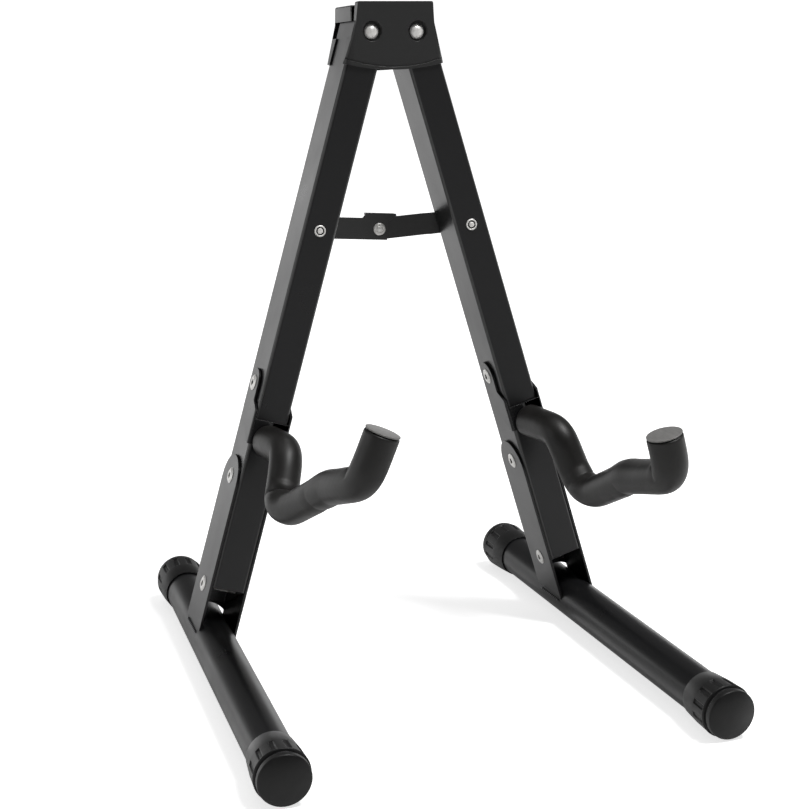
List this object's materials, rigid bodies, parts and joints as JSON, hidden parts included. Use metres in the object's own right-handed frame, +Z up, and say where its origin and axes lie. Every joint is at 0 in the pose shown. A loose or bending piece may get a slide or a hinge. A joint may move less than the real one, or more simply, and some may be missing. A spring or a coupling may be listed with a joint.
{
  "type": "folding guitar stand",
  "caption": "Low folding A-frame floor stand with foam-covered cradle arms, round base tubes with end caps, a pressed head and a locking spreader.",
  "frame": {"origin": "on the floor, at the centre of the footprint", "axes": "+Z up, +Y to the back, +X to the right seen from the front"},
  "size_m": [0.2808, 0.2994, 0.3838],
  "materials": {
    "paint": "satin black powder coat",
    "cover": "satin black powder coat",
    "foam": "soft closed-cell foam",
    "rubber": "matt moulded",
    "rivet": "nickel plated",
    "zinc": "zinc plated"
  },
  "bodies": {
    "head": {"head_front_cover": "cover", "head_rear_cover": "cover", "head_rivet_left": "rivet", "head_rivet_right": "rivet", "head_spacer_left": "zinc", "head_spacer_right": "zinc"},
    "left_leg": {"leg_tube_left": "paint", "leg_bush_left": "zinc", "arm_pivot_rivet_left": "rivet", "foot_bracket_left": "paint", "foot_rivet_upper_left": "rivet", "foot_rivet_lower_left": "rivet", "foot_welds_left": "paint", "base_tube_left": "paint", "base_cap_front_left": "rubber", "base_cap_rear_left": "rubber", "spreader_pin_left": "rivet"},
    "right_leg": {"leg_tube_right": "paint", "leg_bush_right": "zinc", "arm_pivot_rivet_right": "rivet", "foot_bracket_right": "paint", "foot_rivet_upper_right": "rivet", "foot_rivet_lower_right": "rivet", "foot_welds_right": "paint", "base_tube_right": "paint", "base_cap_front_right": "rubber", "base_cap_rear_right": "rubber", "spreader_pin_right": "rivet"},
    "left_arm": {"arm_bracket_left": "paint", "arm_rod_left": "paint", "arm_foam_left": "foam", "arm_end_cap_left": "rubber"},
    "right_arm": {"arm_bracket_right": "paint", "arm_rod_right": "paint", "arm_foam_right": "foam", "arm_end_cap_right": "rubber"},
    "left_link": {"spreader_link_left": "paint", "spreader_rivet": "rivet"},
    "right_link": {"spreader_link_right": "paint", "spreader_pin_end": "rivet"}
  },
  "joints": [
    {"name": "left_leg_fold", "type": "hinge", "parent": "head", "child": "left_leg", "pos_m": [-0.0138, 0.07946, 0.36505], "axis": [0, -0.9957, 0.0924], "range_deg": [0, 15.6]},
    {"name": "right_leg_fold", "type": "hinge", "parent": "head", "child": "right_leg", "pos_m": [0.0138, 0.07946, 0.36505], "axis": [0, 0.9957, -0.0924], "range_deg": [0, 15.6]},
    {"name": "left_link_fold", "type": "hinge", "parent": "left_leg", "child": "left_link", "pos_m": [-0.04698, 0.08528, 0.25131], "axis": [0, -0.9957, 0.0924], "range_deg": [0, 58.91]},
    {"name": "right_link_fold", "type": "hinge", "parent": "left_link", "child": "right_link", "pos_m": [0, 0.08659, 0.24817], "axis": [0, 0.9957, -0.0924], "range_deg": [0, 149.01]},
    {"name": "left_arm_fold", "type": "hinge", "parent": "left_leg", "child": "left_arm", "pos_m": [-0.07391, 0.06059, 0.16168], "axis": [-0.9593, 0.0261, 0.2811], "range_deg": [0, 76]},
    {"name": "right_arm_fold", "type": "hinge", "parent": "right_leg", "child": "right_arm", "pos_m": [0.07391, 0.06059, 0.16168], "axis": [-0.9593, -0.0261, -0.2811], "range_deg": [0, 83]}
  ],
  "couplings": [
    {"joint": "right_leg_fold", "follows": "left_leg_fold", "ratio": 1},
    {"joint": "left_link_fold", "follows": "left_leg_fold", "ratio": 3.7759},
    {"joint": "right_link_fold", "follows": "left_leg_fold", "ratio": 9.5519}
  ]
}
